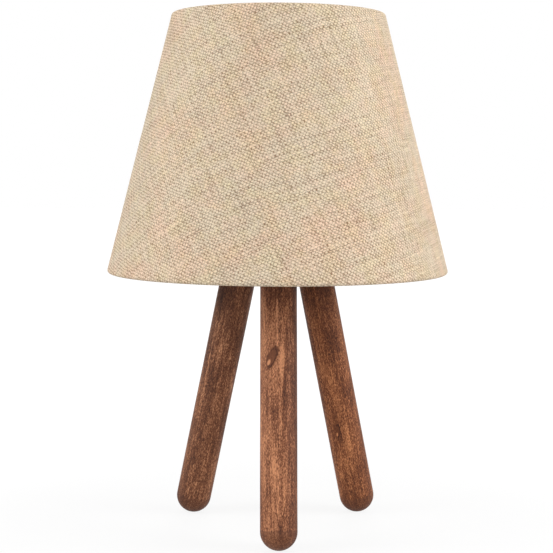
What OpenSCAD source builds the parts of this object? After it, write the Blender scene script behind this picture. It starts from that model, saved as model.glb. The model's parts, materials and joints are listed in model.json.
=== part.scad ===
// Tripod table lamp: three round timber legs in a turned hub, a screw lampholder,
// a wire frame shade with rolled fabric hems, and its bulb.
// Millimetres, +Z up. The origin is on the floor, on the lamp's upright axis. The front leg points to -Y.

/* [Legs] */
// Diameter of a leg
leg_d = 23; // [20:0.5:25]
// Length of a leg from its rounded foot to its square top end
leg_len = 175; // [150:1:220]
// Lean of a leg from the vertical, in degrees
leg_tilt = 13; // [10:0.5:16]
// Diameter of the circle on the hub's underside that the leg axes pass through
leg_circle_d = 57.6; // [56:0.2:66]
// Depth of the small sanded flat under a foot
foot_flat = 0.25; // [0.1:0.05:0.6]
// Chamfer round a leg's top end
leg_chamfer = 1; // [0.5:0.1:1.5]

/* [Leg bolts] */
// Diameter of a hanger bolt
bolt_d = 8; // [6:0.5:9]
// Length of a hanger bolt in the leg
bolt_in_leg = 26; // [18:1:40]
// Length of a hanger bolt in the hub
bolt_in_hub = 11; // [8:0.5:12]
// Length of the point at a bolt's lower end
bolt_point = 5; // [3:0.5:7]
// Wall of a threaded insert, to the crests of its outer thread
insert_wall = 2; // [1.5:0.1:2.4]
// Depth of an insert's outer thread
insert_thread = 0.5; // [0.3:0.05:0.8]
// Length of a threaded insert
insert_len = 12; // [10:0.5:13]
// Number of turns of an insert's outer thread
insert_turns = 3; // [2:1:4]

/* [Hub] */
// Height of the turned hub
hub_h = 26; // [24:0.5:34]
// Timber left outside a leg socket
hub_wall = 5.5; // [4:0.5:9]
// Depth of a leg socket along the leg
socket_depth = 8; // [6:0.5:9]
// Height of the hub's upright edge
hub_edge_h = 14; // [12:0.5:16]
// Rounding of the hub's lower edge
hub_round = 3; // [1:0.5:4]
// Diameter of the flat on top of the hub
hub_top_d = 50; // [46:1:56]
// Diameter of the recess for the nut, under the hub
recess_d = 25; // [24:0.5:28]
// Depth of the recess for the nut
recess_depth = 6; // [5:0.5:7]

/* [Threaded tube] */
// Diameter of the threaded tube
tube_d = 10; // [9.5:0.1:10.5]
// Bore of the threaded tube
tube_bore = 7.6; // [7.2:0.1:8]
// Width of the tube nut across its flats
nut_flats = 14; // [13:0.5:16]
// Thickness of the tube nut
nut_t = 3; // [2:0.5:3.5]
// Diameter of the washer above the tube nut
washer_d = 22; // [18:1:23]
// Thickness of the washer above the tube nut
washer_t = 1.5; // [1:0.25:2]

/* [Cord grip] */
// Diameter of the cord grip
grip_d = 16; // [14:0.5:18]
// Length of the cord grip
grip_len = 18; // [17:0.5:24]
// Length of tube that the cord grip screws on to
grip_thread = 8.5; // [7:0.5:9]
// Hole for the cord through the grip
cord_hole_d = 7; // [6:0.2:7.2]
// Rounding of the cord hole's mouth
cord_mouth = 1.2; // [0.6:0.2:1.4]
// Diameter of the grip's narrow end
grip_nose_d = 13; // [11:0.5:14]
// Length of the grip's full diameter below the tube
grip_shoulder = 2; // [1:0.25:2.25]
// Diameter of the grip's clamping screw
clamp_screw_d = 4; // [3:0.5:4.5]
// How far the clamping screw stands out of the grip
clamp_proud = 0.8; // [0.8:0.1:2]

/* [Lampholder] */
// Diameter of the lampholder's cap
holder_d = 41; // [40.6:0.1:44]
// Height of the lampholder's cap
cap_h = 24; // [23:0.5:27]
// Wall of the lampholder's mouldings
holder_wall = 2; // [1.6:0.1:2.2]
// Diameter of the boss that holds the threaded tube
boss_d = 18; // [16:0.5:20]
// Height of the boss inside the cap
boss_h = 10; // [8:0.5:11]
// Wall of the boss inside the cap, less than at its foot
boss_step = 1; // [0.6:0.1:1.4]
// Height at which the cap's rounded shoulder meets its straight wall
shoulder_h = 14; // [13:0.5:16]
// Height of the straight boss under the cap's shoulder
cap_foot_h = 3; // [2:0.5:4]
// Number of finger grooves round the cap
cap_grooves = 24; // [16:1:32]
// Diameter of a finger groove in the cap
cap_groove_d = 2; // [1.4:0.1:2.4]
// Plain edge above the finger grooves
cap_edge_h = 2; // [1.5:0.25:3]
// Height of the skirt's neck inside the cap
neck_h = 6; // [5:0.5:7]
// Diameter of the flange that the shade rests on
flange_d = 43; // [42:0.5:46]
// Thickness of the flange that the shade rests on
flange_t = 2; // [1.5:0.25:3]
// Diameter over the skirt's outer thread
skirt_d = 39.6; // [39:0.1:40]
// Height of the threaded skirt above its flange
skirt_h = 28; // [27:0.5:32]
// Pitch of the skirt's outer thread
skirt_pitch = 3; // [2:0.25:4]
// Depth of the skirt's outer thread
skirt_thread = 0.6; // [0.3:0.1:0.8]
// Least height of the plain rim above the skirt's thread
skirt_rim_h = 2; // [1.5:0.25:4]
// Chamfer of the skirt's rim and lip
skirt_chamfer = 0.7; // [0.4:0.1:0.9]
// Opening of the lampholder's lip
lip_d = 28; // [27.6:0.1:28.6]
// Thickness of the lampholder's lip
lip_t = 2.8; // [2:0.2:3.6]
// Thickness of the contact carrier's floor
carrier_floor = 5; // [4:0.5:6]
// How far the contact carrier hangs below the skirt's neck
carrier_drop = 2; // [1.5:0.25:3]
// Width of the ledge that the contact carrier stands on
carrier_ledge = 1; // [0.6:0.1:1.4]
// Thickness of the metal screw shell
shell_t = 0.3; // [0.25:0.05:0.5]
// Depth of the screw shell's thread
shell_depth = 0.5; // [0.4:0.05:0.6]
// Number of turns of the screw shell's thread
shell_turns = 5; // [4:1:5]
// Diameter of the steel washer under the lampholder
seat_washer_d = 38; // [30:1:42]
// Thickness of the steel washer under the lampholder
seat_washer_t = 1.5; // [1:0.25:2.5]
// Thickness of the contact strips
strip_t = 0.5; // [0.4:0.05:0.8]
// Width of the contact strips
strip_w = 6; // [4:0.5:7]
// Distance of a terminal screw from the lampholder's axis
terminal_x = 9; // [8.5:0.25:9.5]
// Diameter of a terminal screw's head
terminal_head_d = 5.6; // [5:0.2:6]
// Height of a terminal screw's head
terminal_head_h = 1.8; // [1.4:0.1:2.2]
// Diameter of a terminal screw
terminal_d = 3; // [2.5:0.1:3.5]
// Width of a screwdriver slot
slot_w = 0.8; // [0.6:0.1:1]
// Depth of a screwdriver slot
slot_depth = 0.8; // [0.6:0.1:1]

/* [Shade ring] */
// Diameter of the shade ring's flange
ring_flange_d = 57; // [54:1:62]
// Thickness of the shade ring's flange
ring_flange_t = 2.2; // [1.6:0.2:3]
// Diameter of the shade ring's collar
ring_collar_d = 48; // [46:0.5:52]
// Height of the shade ring
ring_h = 10; // [8:0.5:13]
// Rise of the sloping top of the shade ring's flange
ring_slope = 0.8; // [0.4:0.1:1.2]
// Chamfer of the shade ring's upper edge
ring_chamfer = 1; // [0.5:0.1:1.5]
// Number of finger grooves round the collar
ring_grooves = 20; // [12:1:28]
// Diameter of a finger groove
groove_d = 3; // [2:0.25:3.5]

/* [Shade] */
// Diameter of the shade at its lower edge
shade_bottom_d = 220; // [200:1:260]
// Diameter of the shade at its upper edge
shade_top_d = 136; // [110:1:160]
// Height of the shade
shade_h = 165; // [140:1:190]
// Height of the fitter ring above the shade's lower edge
fitter_rise = 50.8; // [40:0.2:70]
// Thickness of the fabric
fabric_t = 0.5; // [0.4:0.05:0.8]
// Thickness of the liner sheet inside the fabric
liner_t = 0.4; // [0.3:0.05:0.6]
// Diameter of the shade's wires
wire_d = 2.5; // [2:0.1:3.2]
// Width of the fabric's lapped seam at the back
seam_w = 10; // [6:0.5:14]
// Width of the fitter ring from its hole to its rim
fitter_w = 7; // [6:0.25:8]
// Thickness of the fitter ring
fitter_t = 1.5; // [1:0.1:2]
// Level run of a spoke beyond the fitter ring
spoke_level = 2; // [1.5:0.5:6]
// Gap between a spoke's inner end and the lampholder's flange
spoke_gap = 1; // [0.5:0.25:2]

/* [Bulb] */
// Diameter of the bulb's globe
bulb_d = 60; // [52:1:64]
// Length of the bulb from its contact to its top
bulb_len = 104; // [98:1:112]
// Diameter over the thread of the bulb's cap
thread_d = 26.2; // [25.6:0.1:26.4]
// Pitch of the bulb's thread
thread_pitch = 3.63; // [3:0.01:4]
// Depth of the bulb's thread
thread_depth = 1; // [0.6:0.1:1.2]
// Length of the bulb that the lampholder takes, from its contact
bulb_cap_len = 26; // [25:0.5:27]
// Wall of the bulb's metal cap
cap_t = 0.5; // [0.3:0.05:0.6]
// Height at which the bulb's thread starts above its contact
thread_start = 5; // [4.5:0.25:6]
// Number of turns of the bulb's thread
thread_turns = 4; // [3:1:4]
// Plain band of the bulb's cap above its thread
cap_band_h = 3; // [2:0.25:3.5]
// Gap between the lampholder's rim and the bulb's body
body_clear = 1; // [0.5:0.25:2]
// Diameter of the opening in the cap's turned-in foot
cap_foot_d = 17; // [15:0.5:19]
// Diameter of the bulb's contact
button_d = 9; // [8:0.5:10]
// Height of the bulb's contact
button_h = 1.6; // [1.2:0.1:2]
// Slope round the bulb's contact
button_slope = 1.5; // [1:0.1:2]
// Height of the insulator between the contact and the cap
insulator_h = 3.4; // [3:0.1:3.8]
// Height of the bulb's body above the cap
bulb_body_h = 24; // [20:1:28]
// Diameter of the bulb's body at its upper rim
bulb_body_d = 50; // [44:1:51]
// Step outwards from the cap to the bulb's body
body_step = 0.6; // [0.4:0.1:1]
// Length of the body's spigot in the cap
body_spigot = 8; // [5:0.5:10]
// Height of the body's upper rim
body_rim_h = 2; // [1.5:0.25:3]
// Wall of the globe
globe_t = 1.2; // [0.8:0.1:2]
// Thickness of the light board
board_t = 1.2; // [0.8:0.1:1.6]
// Ledge left round the light board
board_edge = 3; // [2.5:0.5:5]
// Number of light chips on the board
chip_count = 10; // [6:1:14]
// Width of a light chip
chip_w = 2.8; // [2:0.2:3.4]
// Height of a light chip
chip_h = 0.7; // [0.5:0.1:1]
// Distance of the light chips from the light board's edge
chip_inset = 6; // [4:0.5:8]

/* [Clearances] */
// Gap round a leg in its socket and round plain holes
fit_gap = 0.1; // [0.05:0.01:0.2]
// Gap between pieces of the thin shade and wires
thin_gap = 0.05; // [0.02:0.01:0.1]
// Gap between the shade ring and the thread it turns on
turn_gap = 0.2; // [0.15:0.01:0.3]
// Gap between the bulb's thread and the metal shell
bulb_gap = 0.3; // [0.2:0.05:0.4]

/* [Hidden] */
$fn = 96;

walnut = "#7a4a34";
steel = "#c4c6c8";
brass = "#c9a552";
moulded = "#26262a";
linen = "#d6bd98";
white = "#f3f1ec";

leg_angles = [-90, 30, 150];
spoke_angles = [-30, 90, 210];
terminal_angles = [0, 180];

// Legs: the foot's ball stands on its flat, and the axis leans in towards the hub
leg_r = leg_d / 2;
foot_z = leg_r - foot_flat;
shank_len = leg_len - leg_r;
hub_z = foot_z + (shank_len - socket_depth) * cos(leg_tilt);
foot_circle_r = leg_circle_d / 2 + (shank_len - socket_depth) * sin(leg_tilt);
bolt_hole_r = bolt_d / 2 + fit_gap;
insert_r = bolt_hole_r + insert_wall;

// Hub
hub_r = leg_circle_d / 2 + leg_r / cos(leg_tilt) + fit_gap + hub_wall;
hub_top_z = hub_z + hub_h;
hub_top_r = hub_top_d / 2;
tube_r = tube_d / 2;
tube_hole_r = tube_r + fit_gap;
recess_z = hub_z + recess_depth;

// Tube, nut and cord grip hang under the recess
nut_z = recess_z - washer_t - nut_t;
tube_bottom_z = nut_z - grip_thread;
grip_z = nut_z - grip_len;
clamp_z = (tube_bottom_z + grip_z) / 2;
cord_hole_r = cord_hole_d / 2;

// Lampholder, from its foot upwards
holder_z = hub_top_z + seat_washer_t;
holder_r = holder_d / 2;
cap_in_r = holder_r - holder_wall;
boss_r = boss_d / 2;
tube_top_z = holder_z + boss_h - fit_gap;
seat_z = holder_z + cap_h + flange_t;
rim_z = seat_z + skirt_h;
skirt_r = skirt_d / 2;
skirt_in_r = skirt_r - skirt_thread - holder_wall;
lip_r = lip_d / 2;
carrier_r = skirt_in_r - fit_gap;
carrier_z = holder_z + cap_h - neck_h - carrier_drop;
carrier_floor_z = carrier_z + carrier_floor;
carrier_top_z = rim_z - lip_t - fit_gap;

// Screw shell and its contacts
thread_r = thread_d / 2;
shell_r = thread_r + bulb_gap;
carrier_in_r = shell_r + shell_depth + shell_t + fit_gap;
shell_bottom_z = carrier_top_z - shell_turns * thread_pitch;
contact_z = rim_z - bulb_cap_len;
terminal_head_r = terminal_head_d / 2;
strip_foot_x = terminal_x + terminal_head_r;

// Shade wall in its own terms: s runs up the slope and n goes inwards from the outer face
shade_z = seat_z - fitter_rise;
shade_lean = atan((shade_bottom_d - shade_top_d) / 2 / shade_h);
wire_r = wire_d / 2;
hem_r = wire_r + thin_gap + fabric_t;
hem_low = hem_r * (1 + sin(shade_lean)) / cos(shade_lean);
hem_high = (shade_h - hem_r * (1 - sin(shade_lean))) / cos(shade_lean);
liner_n = fabric_t + thin_gap;
hem_end = 180 + asin((hem_r - fabric_t) / hem_r);
liner_start = sqrt(pow(hem_r, 2) - pow(hem_r - liner_n - liner_t, 2)) + thin_gap;
fitter_in_r = skirt_r + turn_gap + thin_gap;
fitter_r = fitter_in_r + fitter_w;

// Spokes: level under the fitter ring, then bent down for a straight run to the lower wire
spoke_z = seat_z - wire_r - thin_gap;
spoke_start_r = flange_d / 2 + spoke_gap;
spoke_bend_r = fitter_r + spoke_level;
low_wire = wall_point(hem_low, hem_r);
high_wire = wall_point(hem_high, hem_r);
spoke_run = low_wire - [spoke_bend_r, spoke_z];
spoke_drop = -atan2(spoke_run[1], spoke_run[0]);
spoke_len = norm(spoke_run) - wire_r - thin_gap;

// Shade ring
ring_z = seat_z + fitter_t + thin_gap;
ring_in_r = skirt_r + turn_gap;

// Bulb
bulb_z = contact_z;
cap_top_z = rim_z + body_clear;
body_top_z = cap_top_z + bulb_body_h;
bulb_top_z = bulb_z + bulb_len;
globe_r = bulb_d / 2;
globe_mid_z = bulb_top_z - globe_r;
body_r = bulb_body_d / 2;
button_r = button_d / 2;
thread_root_r = thread_r - thread_depth;
board_r = body_r - board_edge;
board_top_z = body_top_z - body_rim_h;

// Points of the shade's section, as [radius, height]
function wall_point(s, n) = [
    shade_bottom_d / 2 - s * sin(shade_lean) - n * cos(shade_lean),
    shade_z + s * cos(shade_lean) - n * sin(shade_lean)
];

// Points along an arc about a centre, from one angle to another
function arc(centre, rx, ry, from, to, steps) = [
    for (i = [0 : steps]) let (a = from + (to - from) * i / steps)
        centre + [rx * cos(a), ry * sin(a)]
];

// Crests and roots of a round thread up a wall, as [radius, height]
function thread_line(crest_r, depth, pitch, turns, bottom, steps = 6) = [
    for (i = [0 : turns * steps])
        [crest_r - depth * (1 + cos(360 * i / steps)) / 2, bottom + i * pitch / steps]
];

function reversed(points) = [for (i = [len(points) - 1 : -1 : 0]) points[i]];

// Puts a piece on a leg's axis, with zero at the foot's ball and +Z up the leg
module on_leg(angle) {
    rotate([0, 0, angle])
        translate([foot_circle_r, 0, foot_z])
            rotate([0, -leg_tilt, 0])
                children();
}

module tube_piece(outer_r, inner_r, bottom, top) {
    translate([0, 0, bottom])
        difference() {
            cylinder(r = outer_r, h = top - bottom);
            translate([0, 0, -1])
                cylinder(r = inner_r, h = top - bottom + 2);
        }
}

module turned(points) {
    rotate_extrude()
        polygon(points);
}

// Leg: a dowel with a ball end, sanded flat where it stands, and a pilot hole in its top
module leg(angle) {
    color(walnut)
        difference() {
            on_leg(angle)
                difference() {
                    union() {
                        sphere(r = leg_r);
                        cylinder(r = leg_r, h = shank_len - leg_chamfer);
                        translate([0, 0, shank_len - leg_chamfer])
                            cylinder(r1 = leg_r, r2 = leg_r - leg_chamfer, h = leg_chamfer);
                    }
                    translate([0, 0, shank_len - bolt_in_leg])
                        cylinder(r = bolt_hole_r, h = bolt_in_leg + 1);
                }
            translate([-hub_r * 2, -hub_r * 2, -leg_d])
                cube([hub_r * 4, hub_r * 4, leg_d]);
        }
}

// Hanger bolts: pointed in the leg and square in the hub's insert
module leg_bolts() {
    color(steel)
        for (angle = leg_angles)
            on_leg(angle)
                translate([0, 0, shank_len - bolt_in_leg]) {
                    cylinder(d1 = 0, d2 = bolt_d, h = bolt_point);
                    translate([0, 0, bolt_point])
                        cylinder(d = bolt_d, h = bolt_in_leg - bolt_point + bolt_in_hub);
                }
}

// Threaded inserts: a sleeve in the hub with a coarse outer thread
module leg_inserts() {
    line = thread_line(insert_r, insert_thread, insert_len / insert_turns, insert_turns, shank_len);
    color(brass)
        for (angle = leg_angles)
            on_leg(angle)
                turned(concat(line, [[bolt_hole_r, shank_len + insert_len], [bolt_hole_r, shank_len]]));
}

function hub_outline() = concat(
    [[0, hub_z]],
    arc([hub_r - hub_round, hub_z + hub_round], hub_round, hub_round, -90, 0, 6),
    arc([hub_top_r, hub_z + hub_edge_h], hub_r - hub_top_r, hub_h - hub_edge_h, 0, 90, 14),
    [[0, hub_top_z]]
);

// Hub: a domed turning with three leaning sockets, insert holes, and a recess for the nut
module hub() {
    color(walnut)
        difference() {
            turned(hub_outline());
            for (angle = leg_angles)
                on_leg(angle) {
                    translate([0, 0, shank_len - socket_depth * 2])
                        cylinder(r = leg_r + fit_gap, h = socket_depth * 2);
                    translate([0, 0, shank_len - 1])
                        cylinder(r = insert_r + fit_gap, h = insert_len + 1 + fit_gap);
                }
            translate([0, 0, hub_z - 1])
                cylinder(r = tube_hole_r, h = hub_h + 2);
            translate([0, 0, hub_z - 1])
                cylinder(d = recess_d, h = recess_depth + 1);
        }
}

module threaded_tube() {
    color(steel)
        tube_piece(tube_r, tube_bore / 2, tube_bottom_z, tube_top_z);
}

module tube_nut() {
    color(steel)
        difference() {
            translate([0, 0, nut_z])
                cylinder(d = nut_flats / cos(30), h = nut_t, $fn = 6);
            translate([0, 0, nut_z - 1])
                cylinder(r = tube_r + thin_gap, h = nut_t + 2);
        }
}

module tube_washer() {
    color(steel)
        tube_piece(washer_d / 2, tube_hole_r, nut_z + nut_t, recess_z);
}

// Cord grip: a moulded sleeve on the tube's lower end, with a rounded mouth for the cord
module cord_grip() {
    outline = concat(
        arc([cord_hole_r + cord_mouth, grip_z + cord_mouth], cord_mouth, cord_mouth, -90, -180, 5),
        [[cord_hole_r, tube_bottom_z], [tube_r + thin_gap, tube_bottom_z], [tube_r + thin_gap, nut_z],
         [grip_d / 2, nut_z], [grip_d / 2, tube_bottom_z - grip_shoulder], [grip_nose_d / 2, grip_z]]
    );
    color(moulded)
        difference() {
            turned(outline);
            translate([0, 0, clamp_z])
                rotate([0, -90, 0])
                    cylinder(d = clamp_screw_d + 2 * thin_gap, h = grip_d);
        }
}

// Clamping screw in the side of the grip, backed off so that the cord hole is clear
module clamp_screw() {
    tip = cord_hole_r + fit_gap;
    head = grip_d / 2 + clamp_proud;
    color(white)
        translate([0, 0, clamp_z])
            difference() {
                translate([-head, 0, 0])
                    rotate([0, 90, 0])
                        cylinder(d = clamp_screw_d, h = head - tip);
                translate([-head - slot_depth, -clamp_screw_d, -slot_w / 2])
                    cube([slot_depth * 2, clamp_screw_d * 2, slot_w]);
            }
}

module seat_washer() {
    color(steel)
        tube_piece(seat_washer_d / 2, tube_hole_r, hub_top_z, holder_z);
}

// Lampholder's cap: a bell with a boss for the tube, a ledge for the contact carrier and finger grooves
module holder_cap() {
    shoulder_z = holder_z + shoulder_h;
    cap_top = holder_z + cap_h;
    ledge_r = carrier_r - carrier_ledge;
    inner_boss_r = boss_r - boss_step;
    tube_side_r = tube_r + thin_gap;
    color(moulded)
        difference() {
            turned(concat(
                [[tube_side_r, holder_z], [boss_r, holder_z]],
                arc([boss_r, shoulder_z], holder_r - boss_r, shoulder_h - cap_foot_h, -90, 0, 12),
                [[holder_r, cap_top], [cap_in_r, cap_top], [cap_in_r, carrier_z], [ledge_r, carrier_z]],
                reversed(arc([boss_r, shoulder_z], ledge_r - boss_r, shoulder_h - cap_foot_h - holder_wall,
                    -90, 0, 12)),
                [[inner_boss_r, holder_z + cap_foot_h + holder_wall], [inner_boss_r, holder_z + boss_h],
                 [tube_side_r, holder_z + boss_h]]
            ));
            for (i = [0 : cap_grooves - 1])
                rotate([0, 0, i * 360 / cap_grooves])
                    translate([holder_r + cap_groove_d / 4, 0, shoulder_z])
                        cylinder(d = cap_groove_d, h = cap_h - shoulder_h - cap_edge_h, $fn = 24);
        }
}

// Lampholder's skirt: a neck in the cap, the flange under the shade, the outer thread and a lip
module holder_skirt() {
    neck_r = cap_in_r - fit_gap;
    flange_z = seat_z - flange_t;
    turns = floor((skirt_h - skirt_rim_h) / skirt_pitch);
    root_r = skirt_r - skirt_thread;
    color(moulded)
        turned(concat(
            [[skirt_in_r, flange_z - neck_h], [neck_r, flange_z - neck_h], [neck_r, flange_z],
             [flange_d / 2, flange_z], [flange_d / 2, seat_z]],
            thread_line(skirt_r, skirt_thread, skirt_pitch, turns, seat_z),
            [[root_r, rim_z - skirt_chamfer], [root_r - skirt_chamfer, rim_z], [lip_r + skirt_chamfer, rim_z],
             [lip_r, rim_z - skirt_chamfer], [lip_r, rim_z - lip_t], [skirt_in_r, rim_z - lip_t]]
        ));
}

// Contact carrier: the insulating cup inside the skirt
module contact_carrier() {
    color(white)
        difference() {
            turned([
                [0, carrier_z], [carrier_r, carrier_z], [carrier_r, carrier_top_z],
                [carrier_in_r, carrier_top_z], [carrier_in_r, carrier_floor_z], [0, carrier_floor_z]
            ]);
            for (angle = terminal_angles)
                rotate([0, 0, angle])
                    translate([terminal_x, 0, carrier_z - 1])
                        cylinder(d = terminal_d + 2 * thin_gap, h = carrier_floor + 2);
        }
}

// Metal shell that takes the bulb's thread, pressed in rounded turns
module screw_shell() {
    root_r = shell_r + shell_depth;
    line = thread_line(root_r, shell_depth, thread_pitch, shell_turns, shell_bottom_z);
    color(brass)
        turned(concat(line, reversed([for (p = line) p + [shell_t, 0]])));
}

// A bent strip, from its side view as [distance from the axis, height]
module contact_strip(side_view) {
    color(brass)
        translate([0, strip_w / 2, 0])
            rotate([90, 0, 0])
                linear_extrude(height = strip_w)
                    polygon(side_view);
}

// Sprung strip that rises from its terminal to the bulb's contact
module centre_contact() {
    root_x = 3;
    crest_x = -1;
    fall_x = -3;
    tail_x = -5;
    top = contact_z - fit_gap;
    tail_z = (carrier_floor_z + top) / 2;
    rotate([0, 0, terminal_angles[1]])
        contact_strip([
            [strip_foot_x, carrier_floor_z], [root_x, carrier_floor_z], [crest_x, top - strip_t],
            [fall_x, top - strip_t], [tail_x, tail_z], [tail_x - strip_t, tail_z + strip_t],
            [fall_x - strip_t, top], [crest_x + strip_t, top], [root_x + strip_t, carrier_floor_z + strip_t],
            [strip_foot_x, carrier_floor_z + strip_t]
        ]);
}

// Strip that joins the metal shell to its terminal
module side_contact() {
    outer = shell_r + shell_t;
    start_x = terminal_x - terminal_head_r;
    rotate([0, 0, terminal_angles[0]])
        contact_strip([
            [start_x, carrier_floor_z], [outer, carrier_floor_z], [outer, shell_bottom_z],
            [outer - strip_t, shell_bottom_z], [outer - strip_t, carrier_floor_z + strip_t],
            [start_x, carrier_floor_z + strip_t]
        ]);
}

module terminal_screws() {
    color(brass)
        for (angle = terminal_angles)
            rotate([0, 0, angle])
                translate([terminal_x, 0, carrier_z])
                    difference() {
                        union() {
                            translate([0, 0, -terminal_head_h])
                                cylinder(d = terminal_head_d, h = terminal_head_h);
                            cylinder(d = terminal_d, h = carrier_floor);
                        }
                        translate([-terminal_head_d, -slot_w / 2, -terminal_head_h - slot_depth])
                            cube([terminal_head_d * 2, slot_w, slot_depth * 2]);
                    }
}

// Shade ring: turns down the skirt's thread on to the fitter ring
module shade_ring() {
    collar_r = ring_collar_d / 2;
    collar_z = ring_z + ring_flange_t + ring_slope;
    top = ring_z + ring_h;
    color(moulded)
        difference() {
            turned([
                [ring_in_r, ring_z], [ring_flange_d / 2, ring_z], [ring_flange_d / 2, ring_z + ring_flange_t],
                [collar_r, collar_z], [collar_r, top - ring_chamfer], [collar_r - ring_chamfer, top],
                [ring_in_r, top]
            ]);
            for (i = [0 : ring_grooves - 1])
                rotate([0, 0, i * 360 / ring_grooves])
                    translate([collar_r + groove_d / 4, 0, collar_z + ring_slope])
                        cylinder(d = groove_d, h = ring_h, $fn = 24);
        }
}

module fitter_ring() {
    color(steel)
        tube_piece(fitter_r, fitter_in_r, seat_z, seat_z + fitter_t);
}

module spoke() {
    mitre = spoke_drop / 2;
    difference() {
        translate([spoke_start_r, 0, spoke_z])
            rotate([0, 90, 0])
                cylinder(r = wire_r, h = spoke_bend_r + wire_d - spoke_start_r, $fn = 32);
        translate([spoke_bend_r, 0, spoke_z])
            rotate([0, mitre, 0])
                translate([0, -wire_d, -wire_d * 2])
                    cube([wire_d * 2, wire_d * 2, wire_d * 4]);
    }
    difference() {
        sloping_run(wire_r, wire_d, spoke_len);
        translate([spoke_bend_r, 0, spoke_z])
            rotate([0, mitre, 0])
                translate([-wire_d * 2, -wire_d, -wire_d * 2])
                    cube([wire_d * 2, wire_d * 2, wire_d * 4]);
    }
}

// A round bar along a spoke's straight run, from a length before its bend to a length past it
module sloping_run(radius, before, length) {
    translate([spoke_bend_r, 0, spoke_z])
        rotate([0, 90 + spoke_drop, 0])
            translate([0, 0, -before])
                cylinder(r = radius, h = before + length, $fn = 32);
}

module spokes() {
    color(steel)
        for (angle = spoke_angles)
            rotate([0, 0, angle])
                spoke();
}

module hoop(centre) {
    rotate_extrude()
        translate(centre)
            circle(r = wire_r, $fn = 32);
}

module bottom_wire() {
    color(steel)
        hoop(low_wire);
}

module top_wire() {
    color(steel)
        hoop(high_wire);
}

module shade_liner() {
    low = hem_low + liner_start;
    high = hem_high - liner_start;
    color(white)
        turned([
            wall_point(low, liner_n), wall_point(high, liner_n),
            wall_point(high, liner_n + liner_t), wall_point(low, liner_n + liner_t)
        ]);
}

// The fabric's section: up the outer face, round the top wire, down the inner face, round the lower wire
function fabric_outline() = concat(
    [for (p = hem_arc(hem_high)) wall_point(p[0], p[1])],
    [for (p = reversed(hem_arc(0))) wall_point(hem_low - p[0], p[1])]
);

// A hem's round, from the outer face to where the fabric's edge lies on the wire
function hem_arc(middle) = arc([middle, hem_r], hem_r, hem_r, -90, hem_end, 22);

// Fabric: one lapped sheet rolled round both wires, notched where the spokes pass
module shade_fabric() {
    lap = hem_r * 2;
    color(linen)
        difference() {
            union() {
                turned(fabric_outline());
                intersection() {
                    turned([
                        wall_point(hem_low + lap, -fabric_t), wall_point(hem_high - lap, -fabric_t),
                        wall_point(hem_high - lap, fabric_t / 2), wall_point(hem_low + lap, fabric_t / 2)
                    ]);
                    translate([-seam_w / 2, 0, shade_z])
                        cube([seam_w, shade_bottom_d, shade_h]);
                }
            }
            for (centre = [low_wire, high_wire])
                rotate_extrude()
                    translate(centre)
                        circle(r = wire_r + thin_gap, $fn = 32);
            for (angle = spoke_angles)
                rotate([0, 0, angle])
                    sloping_run(wire_r + thin_gap, 0, spoke_len + thin_gap);
        }
}

module bulb_contact() {
    color(steel)
        turned([
            [0, bulb_z], [button_r - button_slope, bulb_z],
            [button_r, bulb_z + button_h], [0, bulb_z + button_h]
        ]);
}

module bulb_insulator() {
    low = bulb_z + button_h;
    top = low + insulator_h;
    color(moulded)
        turned([[0, low], [button_r + fit_gap, low], [thread_root_r - cap_t * 2, top], [0, top]]);
}

// Bulb's cap: a rolled metal shell with its round thread, a plain band at the top and a turned-in foot
module bulb_cap() {
    start = bulb_z + thread_start;
    line = concat(
        thread_line(thread_r, thread_depth, thread_pitch, thread_turns, start),
        [[thread_root_r, cap_top_z - cap_band_h - thread_depth], [thread_r, cap_top_z - cap_band_h],
         [thread_r, cap_top_z]]
    );
    color(steel)
        turned(concat(
            [[cap_foot_d / 2, start]],
            line,
            reversed([for (p = line) [p[0] - cap_t, max(p[1], start + cap_t)]]),
            [[cap_foot_d / 2, start + cap_t]]
        ));
}

// Bulb's body: a moulding that swells from the cap to the globe, with a spigot in the cap
module bulb_body() {
    waist_r = thread_r + body_step;
    spigot_r = thread_root_r - cap_t - fit_gap;
    swell_h = bulb_body_h - body_rim_h;
    steps = 12;
    color(white)
        turned(concat(
            [[0, cap_top_z - body_spigot], [spigot_r, cap_top_z - body_spigot], [spigot_r, cap_top_z]],
            [for (i = [0 : steps]) let (swell = (1 - cos(180 * i / steps)) / 2)
                [waist_r + (body_r - waist_r) * swell, cap_top_z + swell_h * i / steps]],
            [[body_r, body_top_z], [body_r - globe_t, body_top_z], [body_r - globe_t, board_top_z],
             [board_r + fit_gap, board_top_z], [board_r + fit_gap, board_top_z - board_t],
             [0, board_top_z - board_t]]
        ));
}

module light_board() {
    color(steel)
        translate([0, 0, board_top_z - board_t])
            cylinder(r = board_r, h = board_t);
}

module light_chips() {
    color(linen)
        for (i = [0 : chip_count - 1])
            rotate([0, 0, i * 360 / chip_count])
                translate([board_r - chip_inset, 0, board_top_z + chip_h / 2])
                    cube([chip_w, chip_w, chip_h], center = true);
}

// Globe: a diffusing dome that narrows to a spigot inside the body's rim
module bulb_globe() {
    spigot_r = body_r - globe_t - fit_gap;
    spigot_z = board_top_z + fit_gap;
    shoulder_z = body_top_z + fit_gap;
    inner_r = globe_r - globe_t;
    start = -acos(body_r / globe_r);
    squat = (globe_mid_z - shoulder_z) / -sin(start) / globe_r;
    inner_low = -acos((spigot_r - globe_t) / inner_r);
    middle = [0, globe_mid_z];
    color(white)
        turned(concat(
            [[spigot_r, spigot_z], [spigot_r, shoulder_z]],
            arc(middle, globe_r, globe_r * squat, start, 0, 8),
            arc(middle, globe_r, globe_r, 6, 90, 14),
            reversed(arc(middle, inner_r, inner_r, 6, 90, 14)),
            reversed(arc(middle, inner_r, inner_r * squat, inner_low, 0, 8)),
            [[spigot_r - globe_t, spigot_z]]
        ));
}

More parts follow.
